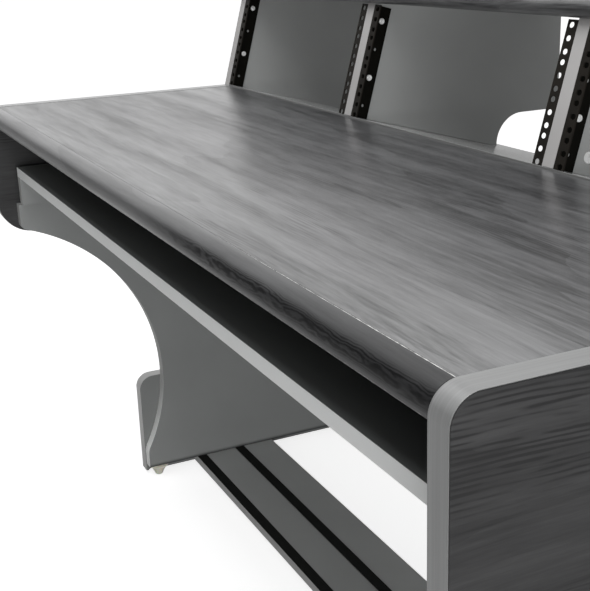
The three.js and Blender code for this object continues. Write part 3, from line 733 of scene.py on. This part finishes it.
# Painted light: the footrest and its front band wear lighter copies of the legs' greys.
step_board = make_melamine("step_board", (0.54, 0.55, 0.545))
step_edge = make_melamine("step_edge", (0.64, 0.64, 0.635), spread=0.04, roughness=0.36)
add_board("footrest", "footrest_board", [step_board, step_edge], (2,))
rubber = make_clouded(
    "rubber", {"Roughness": 0.85, "Specular IOR Level": 0.15},
    (0.004, 0.0045, 0.004), (0.014, 0.015, 0.014), 35.0, 6.0, 0.7,
)[0]
rib_count, rib_steps, groove_share = 8, 81, 0.62
for end in ("front", "rear"):
    low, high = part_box(f"{end}_grip_strip")
    across = np.linspace(0.0, 1.0, rib_steps)
    rib = 0.5 - 0.5 * np.cos(across * 2 * math.pi * rib_count)
    height = (high.z - low.z) * (groove_share + (1 - groove_share) * rib)
    height[[0, -1]] = 0.0
    outline = np.stack([low.y + across * (high.y - low.y), low.z + height], axis=1)
    add_piece(
        f"{end}_grip", *prism(outline, low.x, high.x), [rubber], "desk_frame", "grip_rubber",
        [f"{end}_grip_strip"], crease=60.0,
    )


# Worktop rail and modesty panel: plain boards that tie the legs together behind. The rail is
# screwed under the worktop's rear, and both have banded long edges.
add_board("rail_under_worktop", "worktop_rail", [leg_board, leg_edge], (2, 4))
add_board("modesty_board", "modesty_panel", [leg_board, leg_edge], (4, 5))


# Keyboard tray: a wide melamine board with a pale banded front edge, on two battens that hang
# from the runners.
# Painted shade: the tray's face is a darker copy of the legs' melamine; its front band is partly
# its own pale grey, partly painted light.
tray_face = make_melamine("tray_face", (0.165, 0.174, 0.170))
tray_edge = make_melamine("tray_edge", (0.81, 0.82, 0.815), spread=0.03, roughness=0.4)
add_board("tray", "tray_board", [tray_face, tray_edge], (2,), "tray")
for side in ("left", "right"):
    add_board(f"{side}_batten", f"{side}_tray_batten", [leg_board, leg_edge], (2,), "tray")


# Runners: three zinc-plated channels on each side, one inside the other, pressed from 1.5 mm
# strip. Countersunk screws hold the outer one to the cheek and the inner one to the batten.
zinc, tree, shader, brushed = make_clouded(
    "zinc", {"Metallic": 1.0}, (0.58, 0.585, 0.59), (0.78, 0.78, 0.77), (900.0, 14.0, 900.0), 3.0
)
least_gloss, gloss_spread = 0.2, 0.2
gloss = calculate(tree, "MULTIPLY_ADD", brushed, gloss_spread, least_gloss)
tree.links.new(gloss, shader.inputs["Roughness"])
runner_wall, outer_bend, inner_bend = 0.0015, 0.0016, 0.0004


def channel_outline(back_x, way, reach, low_z, high_z):
    """The section of a pressed channel in X and Z: its back at back_x, two lips that reach out
    the given way with rounded ends, and rounded bends."""
    lip = runner_wall / 2
    inside = runner_wall + inner_bend
    turns = [
        ((reach - lip, high_z - lip), lip, 90.0, -90.0),
        ((inside, high_z - inside), inner_bend, 90.0, 180.0),
        ((inside, low_z + inside), inner_bend, 180.0, 270.0),
        ((reach - lip, low_z + lip), lip, 90.0, -90.0),
        ((outer_bend, low_z + outer_bend), outer_bend, 270.0, 180.0),
        ((outer_bend, high_z - outer_bend), outer_bend, 180.0, 90.0),
    ]
    outline = np.concatenate([arc(*one, 6) for one in turns])
    return outline * [way, 1.0] + [back_x, 0.0]


def face_along_x(points, seat, way):
    """Turns a shape that stands on Z = 0 so that it stands on the seat and faces along X."""
    turned = np.stack([way * points[:, 2], points[:, 0], way * points[:, 1]], axis=1)
    return turned + seat


def add_cross_head(name, seat, way, head, slot, material, body, stands_for=()):
    """A round head that faces along X from its seat: a disc whose rim falls away as a quarter
    circle, with a cross slot cut into its middle. head is its radius, height and rim radius;
    slot is the reach of the arms, half their width and their depth."""
    radius, height, rim = head
    reach, half, depth = slot
    points, faces = spin(np.concatenate([
        [[0.0, 0.0], [radius, 0.0]], arc((radius - rim, height - rim), rim, 0.0, 90.0, 6),
        [[0.0, height]],
    ]))
    piece = add_piece(
        name, face_along_x(points, seat, way), faces, [material], body, "zinc_steel", stands_for
    )
    arm = np.array([[reach, -half], [reach, half], [half, half]])
    quarter_turn = np.array([[0, 1], [-1, 0]])
    cross = np.concatenate([arm @ np.linalg.matrix_power(quarter_turn, turn) for turn in range(4)])
    face_x = seat[0] + way * height
    cut_away(piece, *prism(cross + seat[1:], face_x - depth, face_x + depth))


sunk_head, sunk_slot = (0.004, 0.0013, 0.0003), (0.0026, 0.0006, 0.0008)
sunk_depth = 0.0011
for side, sign in (("left", -1), ("right", 1)):
    for member, body in (
        ("outer", "desk_frame"), ("middle", f"{side}_middle"), ("inner", "tray"),
    ):
        node = f"{side}_runner_{member}"
        low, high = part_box(node)
        way = sign if member == "inner" else -sign
        back_x = low.x if way > 0 else high.x
        outline = channel_outline(back_x, way, high.x - low.x, low.z, high.z)
        points, faces = prism(outline, low.y, high.y)
        add_piece(
            f"{node}_strip", points[:, [1, 0, 2]], [face[::-1] for face in faces], [zinc], body,
            "zinc_steel", [node],
        )
        if member == "middle":
            continue
        for percent in (6, 50, 94):
            seat = (
                back_x + way * (runner_wall - sunk_depth),
                low.y + percent / 100 * (high.y - low.y), (low.z + high.z) / 2,
            )
            add_cross_head(
                f"{node}_screw_{percent}", seat, way, sunk_head, sunk_slot, zinc, body
            )


# Bridge boards: a tilted floor, two side panels, two dividers and a level laminated top, all 22 mm
# or more. They are plain grey melamine with pale banded front edges, the floor's gloss the highest
# and its grey lighter by painted light; each divider is hollowed at the rear for cables and bored
# for its cams.
rack_board = make_melamine("rack_board", (0.345, 0.352, 0.348), roughness=0.3)
rack_edge = make_melamine("rack_edge", (0.47, 0.46, 0.455), spread=0.04, roughness=0.36)
# Painted light: the bay floor's grey is lighter than the other boards' melamine.
bay_floor_painted_light = make_melamine(
    "bay_floor", (0.54, 0.547, 0.543), roughness=0.2,
    numbers={"Coat Weight": 1.0, "Coat Roughness": 0.15},
)
floor_edge = make_melamine("bay_floor_edge", (0.12, 0.122, 0.12), spread=0.04, roughness=0.4)
rack_unit, units, top_play = 0.04445, 4, 0.0022
least_gap = 0.000001
rail_top_v = joint + units * rack_unit
ceiling_v = rail_top_v + top_play
ceiling_z = float(from_rack(0.0, ceiling_v)[1])


def front_second(points, faces):
    """Material numbers for a prism: 1 on the side face in the bridge's front plane, else 0."""
    starts = points[:len(points) // 2, 1:]
    ends = np.stack([starts, np.roll(starts, -1, axis=0)])
    back = (ends[..., 0] - rack_y) * math.cos(tilt) - (ends[..., 1] - worktop_z) * math.sin(tilt)
    picks = np.zeros(len(faces), int)
    picks[:len(starts)][np.all(np.abs(back) < 10 * least_gap, axis=0)] = 1
    return picks


low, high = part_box("rack_bottom_board")
floor_length = (desk_rear - rack_y - rack_floor_v * math.sin(tilt)) / math.cos(tilt)
side_low_v = rack_floor_v - rack_board_thick
points, faces = prism(from_rack(
    np.array([0.0, floor_length, floor_length, 0.0]),
    np.array([side_low_v, side_low_v, rack_floor_v, rack_floor_v]),
), low.x, high.x)
soften(add_piece(
    "bridge_floor", points, faces, [bay_floor_painted_light, floor_edge], "desk_frame", "rack_board",
    ["rack_bottom_board"], front_second(points, faces),
))

low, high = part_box("rack_top_board")
round_by = (high.z - low.z) / 2
points, faces = prism(np.concatenate([
    [[high.y, low.z], [high.y, high.z]],
    arc((low.y + round_by, low.z + round_by), round_by, 90.0, 270.0, 48),
]), low.x, high.x)
soften(add_piece(
    "bridge_top", points, faces, [top_laminate, edge_band], "desk_frame", "worktop_laminate",
    ["rack_top_board"], 1 - sides_second(faces),
))

side_outline = np.array([
    from_rack(0.0, side_low_v), [desk_rear, rack_line_z(side_low_v, desk_rear)],
    [desk_rear, ceiling_z], from_rack(0.0, ceiling_v),
])
divider_low_v = rack_floor_v + joint
notch_length, notch_drop, notch_radius = 0.127, 0.0228, 0.050
notch_y, notch_z = desk_rear - notch_length, worktop_z - notch_drop
divider_outline = np.concatenate([
    [from_rack(0.0, divider_low_v), [notch_y, rack_line_z(divider_low_v, notch_y)]],
    arc((notch_y + notch_radius, notch_z - notch_radius), notch_radius, 180.0, 90.0, 28),
    [[desk_rear, notch_z], [desk_rear, ceiling_z], from_rack(0.0, ceiling_v)],
])
cam_radius, cam_height, cam_gap = 0.0075, 0.003, 0.0003
cam_ways = {"left_divider": -1, "right_divider": 1}


def face_seat(node, way, depth):
    """The middle of a CAD node in Y and Z, at this depth in from its end that faces along X."""
    low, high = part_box(node)
    return np.array([
        (high.x if way > 0 else low.x) - way * depth, (low.y + high.y) / 2, (low.z + high.z) / 2
    ])


for name, outline in (
    ("left_rack_side", side_outline), ("left_divider", divider_outline),
    ("right_divider", divider_outline), ("right_rack_side", side_outline),
):
    low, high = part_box(name)
    points, faces = prism(outline, low.x, high.x)
    panel = add_piece(
        f"{name}_board", points, faces, [rack_board, rack_edge], "desk_frame", "rack_board",
        [name], front_second(points, faces),
    )
    if name in cam_ways:
        for end in ("front", "rear"):
            bore_depth = cam_height + cam_gap
            points, faces = plug(cam_radius + cam_gap, 2 * bore_depth)
            seat = face_seat(f"{name}_{end}_cam", cam_ways[name], bore_depth)
            cut_away(panel, face_along_x(points, seat, cam_ways[name]), faces)
    soften(panel)


# Cams: zinc discs with a cross slot, sunk flush in bores in the dividers' outer faces near the
# floor. Turning one with a screwdriver pulls the divider down onto the floor's bolt.
bright_zinc = make_clouded(
    "bright_zinc", {"Roughness": 0.3, "Metallic": 0.2},
    (0.80, 0.81, 0.82), (0.95, 0.95, 0.93), 800.0, 3.0,
)[0]
cam_head, cam_slot = (cam_radius, cam_height, 0.0004), (0.0036, 0.0007, 0.0016)
for divider, way in cam_ways.items():
    for end in ("front", "rear"):
        node = f"{divider}_{end}_cam"
        add_cross_head(
            f"{node}_disc", face_seat(node, way, cam_height), way, cam_head, cam_slot,
            bright_zinc, "desk_frame", [node],
        )


# Rack rails: black 2 mm angle strips behind each bay's front edges, with three slots in every rack
# unit for cage screws, and a round hole per unit through the side.
def make_paint(name, dark, light, shine):
    """Black powder paint on steel: a fine orange peel, worn lighter in cloudy places."""
    made, tree, shader = make_clouded(
        name, {"Roughness": 0.5, "Specular IOR Level": shine}, dark, light, 70.0, 4.0
    )[:3]
    add_relief(tree, shader, noise(tree, object_point(tree), 900.0, 2.0), 0.3, 0.00008)
    return made


rail_front_paint = make_paint(
    "rail_front_paint", (0.0045, 0.004, 0.003), (0.018, 0.0145, 0.011), 0.12
)
# Painted shade: the side plates wear a darker, duller copy of the front plates' black paint.
rail_side_painted_shade = make_paint(
    "rail_side_painted_shade", (0.002, 0.002, 0.0015), (0.006, 0.0055, 0.004), 0.04
)
rail_width, rail_depth, rail_thick = 0.018, 0.029, 0.002
slot_height, slot_length = 0.007, 0.010
slot_shares = np.array([1 / 7, 1 / 2, 6 / 7])
bay_width, slot_spacing = 0.487, 0.4651
hole_back, hole_radius = 0.0165, 0.0025


def pierced_strip(rows, reach, middle, half, ring, width):
    """A flat strip along V from one end of reach to the other, with a hole at each row, middle
    across it. It is cut into cells half way between the rows. A cell's plate spans from the
    hole's outline, which is ring times half, to its own border by straight blending, in three
    steps. Returns points as across, through, along, and quads."""
    cells = np.concatenate([reach[:1], (rows[:-1] + rows[1:]) / 2, reach[1:]])
    corners = np.array([[0, 0], [1, 0], [1, 1], [0, 1]], float)
    along = np.arange(len(ring) // 4)[:, None] / (len(ring) // 4)
    border = np.concatenate([
        corners[k] + along * (corners[(k + 1) % 4] - corners[k]) for k in range(4)
    ])
    border = border[np.argsort(np.arctan2(border[:, 1] - 0.5, border[:, 0] - 0.5))]
    ring = ring[np.argsort(np.arctan2(ring[:, 1], ring[:, 0]))]
    steps, count = 3, len(ring)
    share = np.linspace(0.0, 1.0, steps + 1)[:, None, None]
    points, faces = [], []
    for row, low, high in zip(rows, cells[:-1], cells[1:]):
        outer = np.stack([border[:, 0] * width, low + border[:, 1] * (high - low)], axis=1)
        inner = [middle, row] + ring * half
        sheet = inner + share * (outer - inner)
        here = sum(len(one) for one in points) + np.arange((steps + 1) * count)
        here = here.reshape(steps + 1, count)
        for through in (0.0, rail_thick):
            points.append(np.stack([
                sheet[..., 0], np.full(sheet.shape[:2], through), sheet[..., 1]
            ], axis=-1).reshape(-1, 3))
        after = np.roll(here, -1, axis=1)
        other = (steps + 1) * count
        front = np.stack([here[:-1], here[1:], after[1:], after[:-1]], axis=-1).reshape(-1, 4)
        bore = np.stack([here[0], after[0], after[0] + other, here[0] + other], axis=1)
        rim = np.stack([here[-1], here[-1] + other, after[-1] + other, after[-1]], axis=1)
        side = np.isclose(outer[:, 0], 0.0) | np.isclose(outer[:, 0], width)
        open_edge = np.isclose(outer[:, 0], np.roll(outer[:, 0], -1)) & side
        for end in reach:
            at_end = np.isclose(outer[:, 1], end)
            open_edge |= at_end & np.roll(at_end, -1)
        faces += [front, front[:, ::-1] + other, bore, rim[open_edge]]
    return np.concatenate(points), np.concatenate(faces).tolist()


def stadium(length, height, steps):
    """The outline of a slot with round ends, as shares of its half sizes, from its right side."""
    straight = (length - height) / 2
    ends = [arc((straight, 0.0), height / 2, -90.0, 90.0, steps),
            arc((-straight, 0.0), height / 2, 90.0, 270.0, steps)]
    return np.concatenate(ends) / [length / 2, height / 2]


rail_ends = np.array([rack_floor_v + joint, rail_top_v])
slot_rows = joint + ((np.arange(units)[:, None] + slot_shares) * rack_unit).ravel()
hole_rows = joint + (np.arange(units) + 0.5) * rack_unit
front_plate = pierced_strip(
    slot_rows, rail_ends, (bay_width - slot_spacing) / 2 - joint,
    (slot_length / 2, slot_height / 2), stadium(slot_length, slot_height, 11), rail_width,
)
side_plate = pierced_strip(
    hole_rows, rail_ends, hole_back - rail_thick, (hole_radius, hole_radius),
    arc((0.0, 0.0), 1.0, -90.0, 270.0, 24)[:-1], rail_depth - rail_thick,
)


def rail_shape(sign, wall_x):
    """The angle strip from its two pierced plates: the front one lies across X, and the side one
    runs back along the panel from behind it; both in X, u and v, then tilted into place."""
    front, front_faces = front_plate
    side, side_faces = side_plate
    points = np.concatenate([
        front * [sign, 1.0, 1.0] + [wall_x, 0.0, 0.0],
        side[:, [1, 0, 2]] * [sign, 1.0, 1.0] + [wall_x, rail_thick, 0.0],
    ])
    points[:, 1:] = from_rack(points[:, 1], points[:, 2])
    return points, front_faces + (np.array(side_faces) + len(front)).tolist()


# Each rail's name, the X of its panel's face, and the way from there into the bay.
rail_places = []
for number, bay in enumerate(("left_bay", "centre_bay", "right_bay")):
    bay_x = (number - 1) * (bay_width + rack_board_thick) - bay_width / 2
    rail_places.append((f"{bay}_left_rail", bay_x + joint, 1))
    rail_places.append((f"{bay}_right_rail", bay_x + bay_width - joint, -1))
for node, wall_x, sign in rail_places:
    rail = add_piece(
        f"{node}_strip", *rail_shape(sign, wall_x), [rail_front_paint, rail_side_painted_shade],
        "desk_frame", "black_steel", [node],
        np.repeat([0, 1], [len(front_plate[1]), len(side_plate[1])]),
    )
    work = bmesh.new()
    work.from_mesh(rail.data)
    bmesh.ops.remove_doubles(work, verts=work.verts, dist=least_gap)
    bmesh.ops.recalc_face_normals(work, faces=work.faces)
    work.to_mesh(rail.data)
    work.free()


# Rail screws: bright pan-head screws with a cross slot, two in the side of each rail. They hold
# it to the panel through its round holes.
screw_head, screw_slot = (0.00475, 0.0026, 0.0022), (0.0026, 0.0005, 0.0018)
for rail_name, wall_x, sign in rail_places:
    for end in ("lower", "upper"):
        node = f"{rail_name}_{end}_screw"
        seat = face_seat(node, sign, 0.0)
        seat[0] = wall_x + sign * (rail_thick + joint)
        add_cross_head(
            f"{node}_head", seat, sign, screw_head, screw_slot, bright_zinc, "desk_frame", [node]
        )


# Floor and light: a pale studio floor, three soft lamps, and a room that is brightest above,
# behind and at the right, and dark low in front. The camera sees floor and room as white.
def ray_kinds(tree):
    """1 or 0 for a ray straight from the camera, and for a ray by way of gloss or glass."""
    rays = add_node(tree, "ShaderNodeLightPath").outputs
    mirrored = calculate(tree, "MAXIMUM", rays["Is Glossy Ray"], rays["Is Transmission Ray"])
    return rays["Is Camera Ray"], mirrored


floor_paint, tree, shader = new_material("floor_paint", {
    "Base Color": (0.55, 0.55, 0.55, 1.0), "Roughness": 0.9, "Specular IOR Level": 0.0,
})
seen, mirrored = ray_kinds(tree)
seen_glow, mirrored_glow = 0.8, 0.05
glow = calculate(tree, "MULTIPLY", mirrored, mirrored_glow)
glow = calculate(tree, "MULTIPLY_ADD", seen, seen_glow, glow)
glow = add_node(tree, "ShaderNodeEmission", {"Color": (1.0, 1.0, 1.0, 1.0), "Strength": glow})
both = add_node(tree, "ShaderNodeAddShader", {0: shader.outputs[0], 1: glow.outputs[0]})
tree.links.new(both.outputs[0], tree.nodes["Material Output"].inputs["Surface"])
mesh = bpy.data.meshes.new("floor")
reach = 30.0
mesh.from_pydata(
    [(-reach, -reach, 0.0), (reach, -reach, 0.0), (reach, reach, 0.0), (-reach, reach, 0.0)],
    [], [(0, 1, 2, 3)],
)
mesh.materials.append(floor_paint)
floor = bpy.data.objects.new("floor", mesh)
bpy.context.collection.objects.link(floor)

world = bpy.data.worlds.new("room")
world.use_nodes = True
bpy.context.scene.world = world
tree = world.node_tree
seen, mirrored = ray_kinds(tree)
direction = add_node(tree, "ShaderNodeTexCoord").outputs["Generated"]
least_share = 0.03


def room_level(brightest, start, end, most):
    """The room's light in a direction: it grows with the cosine of the turn from the brightest
    one, from its least share at start to the most at end."""
    towards = add_node(
        tree, "ShaderNodeVectorMath", {0: direction, 1: brightest}, operation="DOT_PRODUCT"
    ).outputs["Value"]
    return ramp(tree, towards, start, end, least_share * most, most)


on_surfaces = room_level((0.35, 0.55, 0.76), -0.1, 0.6, 0.6)
in_mirrors = room_level((0.05, 0.48, 0.88), -0.34, 0.12, 1.0)
strength = add_node(
    tree, "ShaderNodeMix", {0: mirrored, 2: on_surfaces, 3: in_mirrors}, data_type="FLOAT"
).outputs[0]
room_light = tree.nodes["Background"]
room_light.inputs["Color"].default_value = (1.0, 1.0, 1.0, 1.0)
tree.links.new(strength, room_light.inputs["Strength"])
white = add_node(tree, "ShaderNodeBackground", {"Color": (1.0, 1.0, 1.0, 1.0), "Strength": 1.0})
pick = add_node(
    tree, "ShaderNodeMixShader", {0: seen, 1: room_light.outputs[0], 2: white.outputs[0]}
)
tree.links.new(pick.outputs[0], tree.nodes["World Output"].inputs["Surface"])


def add_lamp(name, place, aim, width, height, power):
    """A soft rectangular lamp at a place, turned towards a point."""
    light = bpy.data.lights.new(name, "AREA")
    light.shape = "RECTANGLE"
    light.size, light.size_y = width, height
    light.energy = power
    lamp = bpy.data.objects.new(name, light)
    bpy.context.collection.objects.link(lamp)
    way = Vector(place) - Vector(aim)
    lamp.matrix_world = Matrix.Translation(place) @ way.to_track_quat("Z", "Y").to_matrix().to_4x4()


add_lamp("high_lamp", (0.0, -0.9, 3.0), (0.0, -0.4, 0.7), 3.0, 1.4, 50.0)
add_lamp("low_right_lamp", (3.5, -1.35, 0.6), (-0.6, 0.0, 0.25), 1.8, 0.6, 50.0)
add_lamp("right_lamp", (3.0, -0.5, 2.0), (-0.2, 0.2, 0.9), 1.6, 1.2, 22.0)
